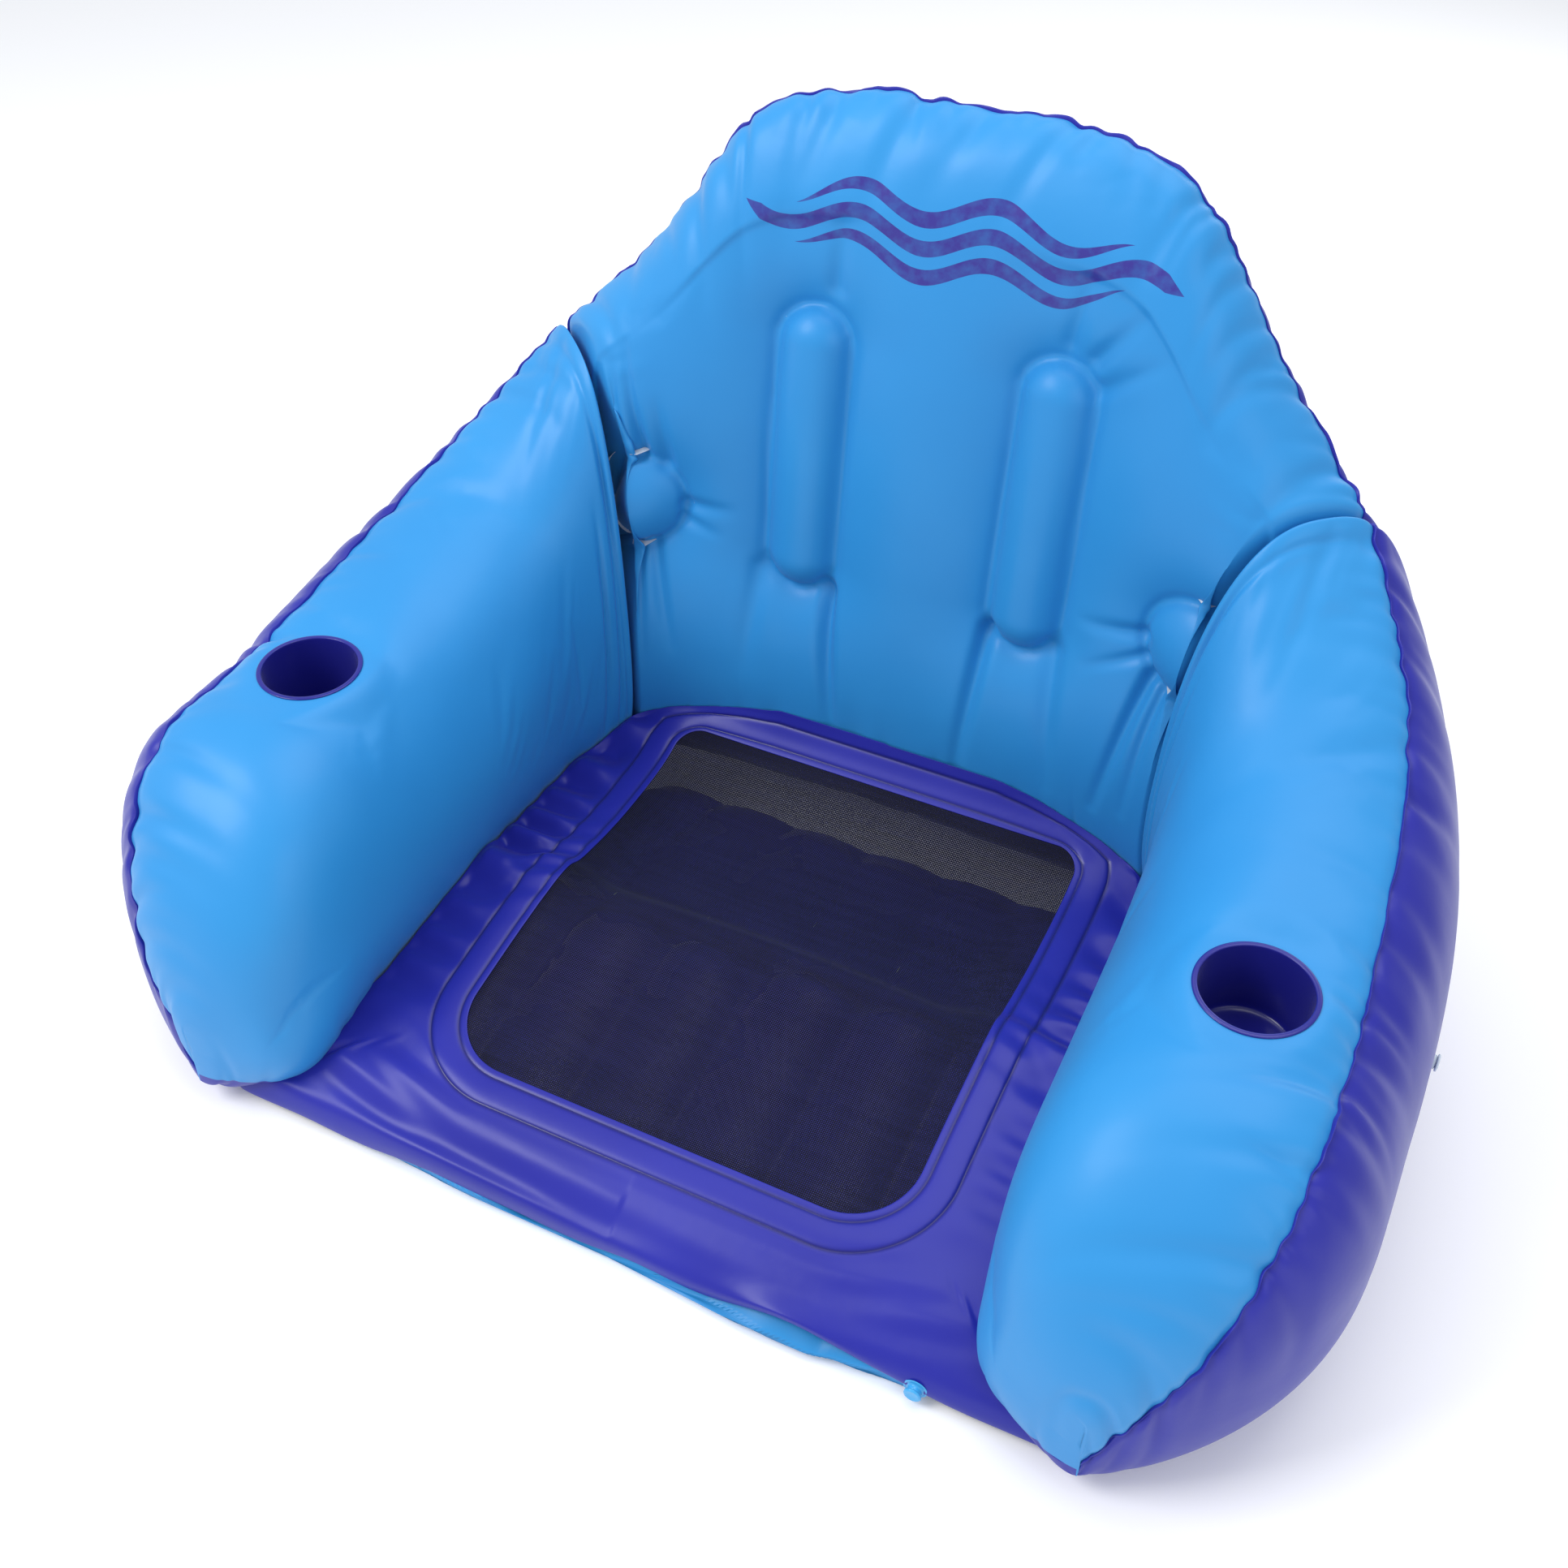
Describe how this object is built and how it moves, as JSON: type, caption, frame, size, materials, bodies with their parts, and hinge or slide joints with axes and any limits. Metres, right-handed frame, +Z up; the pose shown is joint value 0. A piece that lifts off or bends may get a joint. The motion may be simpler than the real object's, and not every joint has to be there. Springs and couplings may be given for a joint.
{
  "type": "inflatable pool float",
  "caption": "Inflatable lounge chair for a pool, with a horseshoe of air-filled arms and backrest, a drink holder in each arm and a net seat over an inflated cushion",
  "frame": {"origin": "on the floor, in the middle of the chair's width and depth", "axes": "+Z up, +Y to the back of the chair, +X towards the arm on the right of a viewer who faces the seat"},
  "size_m": [1.1336, 0.7874, 0.7306],
  "materials": {
    "light_blue_film": "satin PVC film, light blue",
    "dark_blue_film": "satin PVC film, dark indigo blue",
    "cushion_film": "satin PVC film, dark blue",
    "clear_inner_film": "clear PVC film inside the chambers",
    "black_net": "woven black polyester net",
    "moulded_dark_blue": "smooth moulded PVC, dark blue",
    "valve_light_blue": "soft moulded PVC, light blue",
    "valve_clear": "soft clear moulded PVC"
  },
  "bodies": {
    "root": {"right_arm_inner_panel": "light_blue_film", "left_arm_inner_panel": "light_blue_film", "right_arm_outer_panel": "dark_blue_film", "left_arm_outer_panel": "dark_blue_film", "backrest_front_panel": "light_blue_film", "backrest_rear_panel": "dark_blue_film", "right_bulkhead": "clear_inner_film", "left_bulkhead": "clear_inner_film", "right_long_tie": "clear_inner_film", "left_long_tie": "clear_inner_film", "right_round_tie": "clear_inner_film", "left_round_tie": "clear_inner_film", "seat_border": "dark_blue_film", "seat_net": "black_net", "seat_weld_ring": "dark_blue_film", "cushion_top": "cushion_film", "cushion_bottom": "light_blue_film", "cushion_rib_1": "clear_inner_film", "cushion_rib_2": "clear_inner_film", "cushion_rib_3": "clear_inner_film", "cushion_rib_4": "clear_inner_film", "cushion_rib_5": "clear_inner_film", "right_drink_holder": "moulded_dark_blue", "left_drink_holder": "moulded_dark_blue", "right_arm_valve_body": "valve_clear", "left_arm_valve_body": "valve_clear", "back_valve_body": "valve_clear", "seat_valve_body": "valve_light_blue"},
    "right_arm_plug": {"right_arm_valve_plug": "valve_clear"},
    "right_arm_flap": {"right_arm_valve_flap": "valve_clear"},
    "left_arm_plug": {"left_arm_valve_plug": "valve_clear"},
    "left_arm_flap": {"left_arm_valve_flap": "valve_clear"},
    "back_plug": {"back_valve_plug": "valve_clear"},
    "back_flap": {"back_valve_flap": "valve_clear"},
    "seat_plug": {"seat_valve_plug": "valve_light_blue"},
    "seat_flap": {"seat_valve_flap": "valve_clear"}
  },
  "joints": [
    {"name": "right_arm_plug_pull", "type": "slide", "parent": "root", "child": "right_arm_plug", "axis": [1, 0, 0], "range_m": [0, 0.01]},
    {"name": "right_arm_flap_swing", "type": "hinge", "parent": "root", "child": "right_arm_flap", "pos_m": [0.5474, -0.01275, 0.17034], "axis": [0, 1, 0], "range_deg": [0, 40]},
    {"name": "left_arm_plug_pull", "type": "slide", "parent": "root", "child": "left_arm_plug", "axis": [-1, 0, 0], "range_m": [0, 0.01]},
    {"name": "left_arm_flap_swing", "type": "hinge", "parent": "root", "child": "left_arm_flap", "pos_m": [-0.5474, -0.01275, 0.17034], "axis": [0, -1, 0], "range_deg": [0, 40]},
    {"name": "back_plug_pull", "type": "slide", "parent": "root", "child": "back_plug", "axis": [0, 1, 0], "range_m": [0, 0.01]},
    {"name": "back_flap_swing", "type": "hinge", "parent": "root", "child": "back_flap", "pos_m": [0, 0.37435, 0.3681], "axis": [-1, 0, 0], "range_deg": [0, 40]},
    {"name": "seat_plug_pull", "type": "slide", "parent": "root", "child": "seat_plug", "axis": [0, -1, 0], "range_m": [0, 0.01]},
    {"name": "seat_flap_swing", "type": "hinge", "parent": "root", "child": "seat_flap", "pos_m": [0.276, -0.36414, 0.0191], "axis": [1, 0, 0], "range_deg": [0, 40]}
  ]
}
